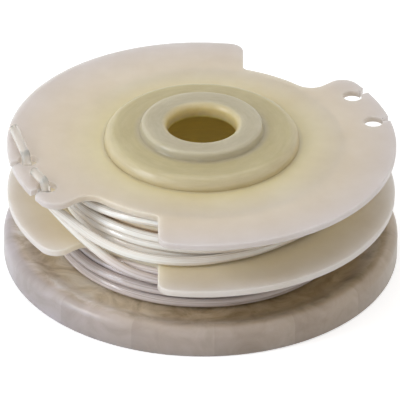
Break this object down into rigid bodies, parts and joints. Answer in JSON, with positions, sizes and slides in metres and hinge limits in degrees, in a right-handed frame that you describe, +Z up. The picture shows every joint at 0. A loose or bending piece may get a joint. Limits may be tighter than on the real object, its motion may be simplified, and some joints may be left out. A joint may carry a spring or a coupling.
{
  "type": "trimmer line spool",
  "caption": "Flanged nylon spool with a hub bore, notched flanges and keyhole slots, wound with clear trimmer line in its grooves, for a grass trimmer head.",
  "frame": {"origin": "bottom centre of the base rim, on the bore axis", "axes": "+Z up the bore from the base to the boss; +X to the right and -Y to the viewer in the picture"},
  "size_m": [0.102, 0.102, 0.0385],
  "materials": {
    "natural_nylon": "natural nylon, slightly translucent, satin",
    "clear_line": "clear nylon line, glossy"
  },
  "bodies": {
    "root": {"spool_body": "natural_nylon", "lower_line": "clear_line", "upper_line": "clear_line"}
  },
  "joints": []
}
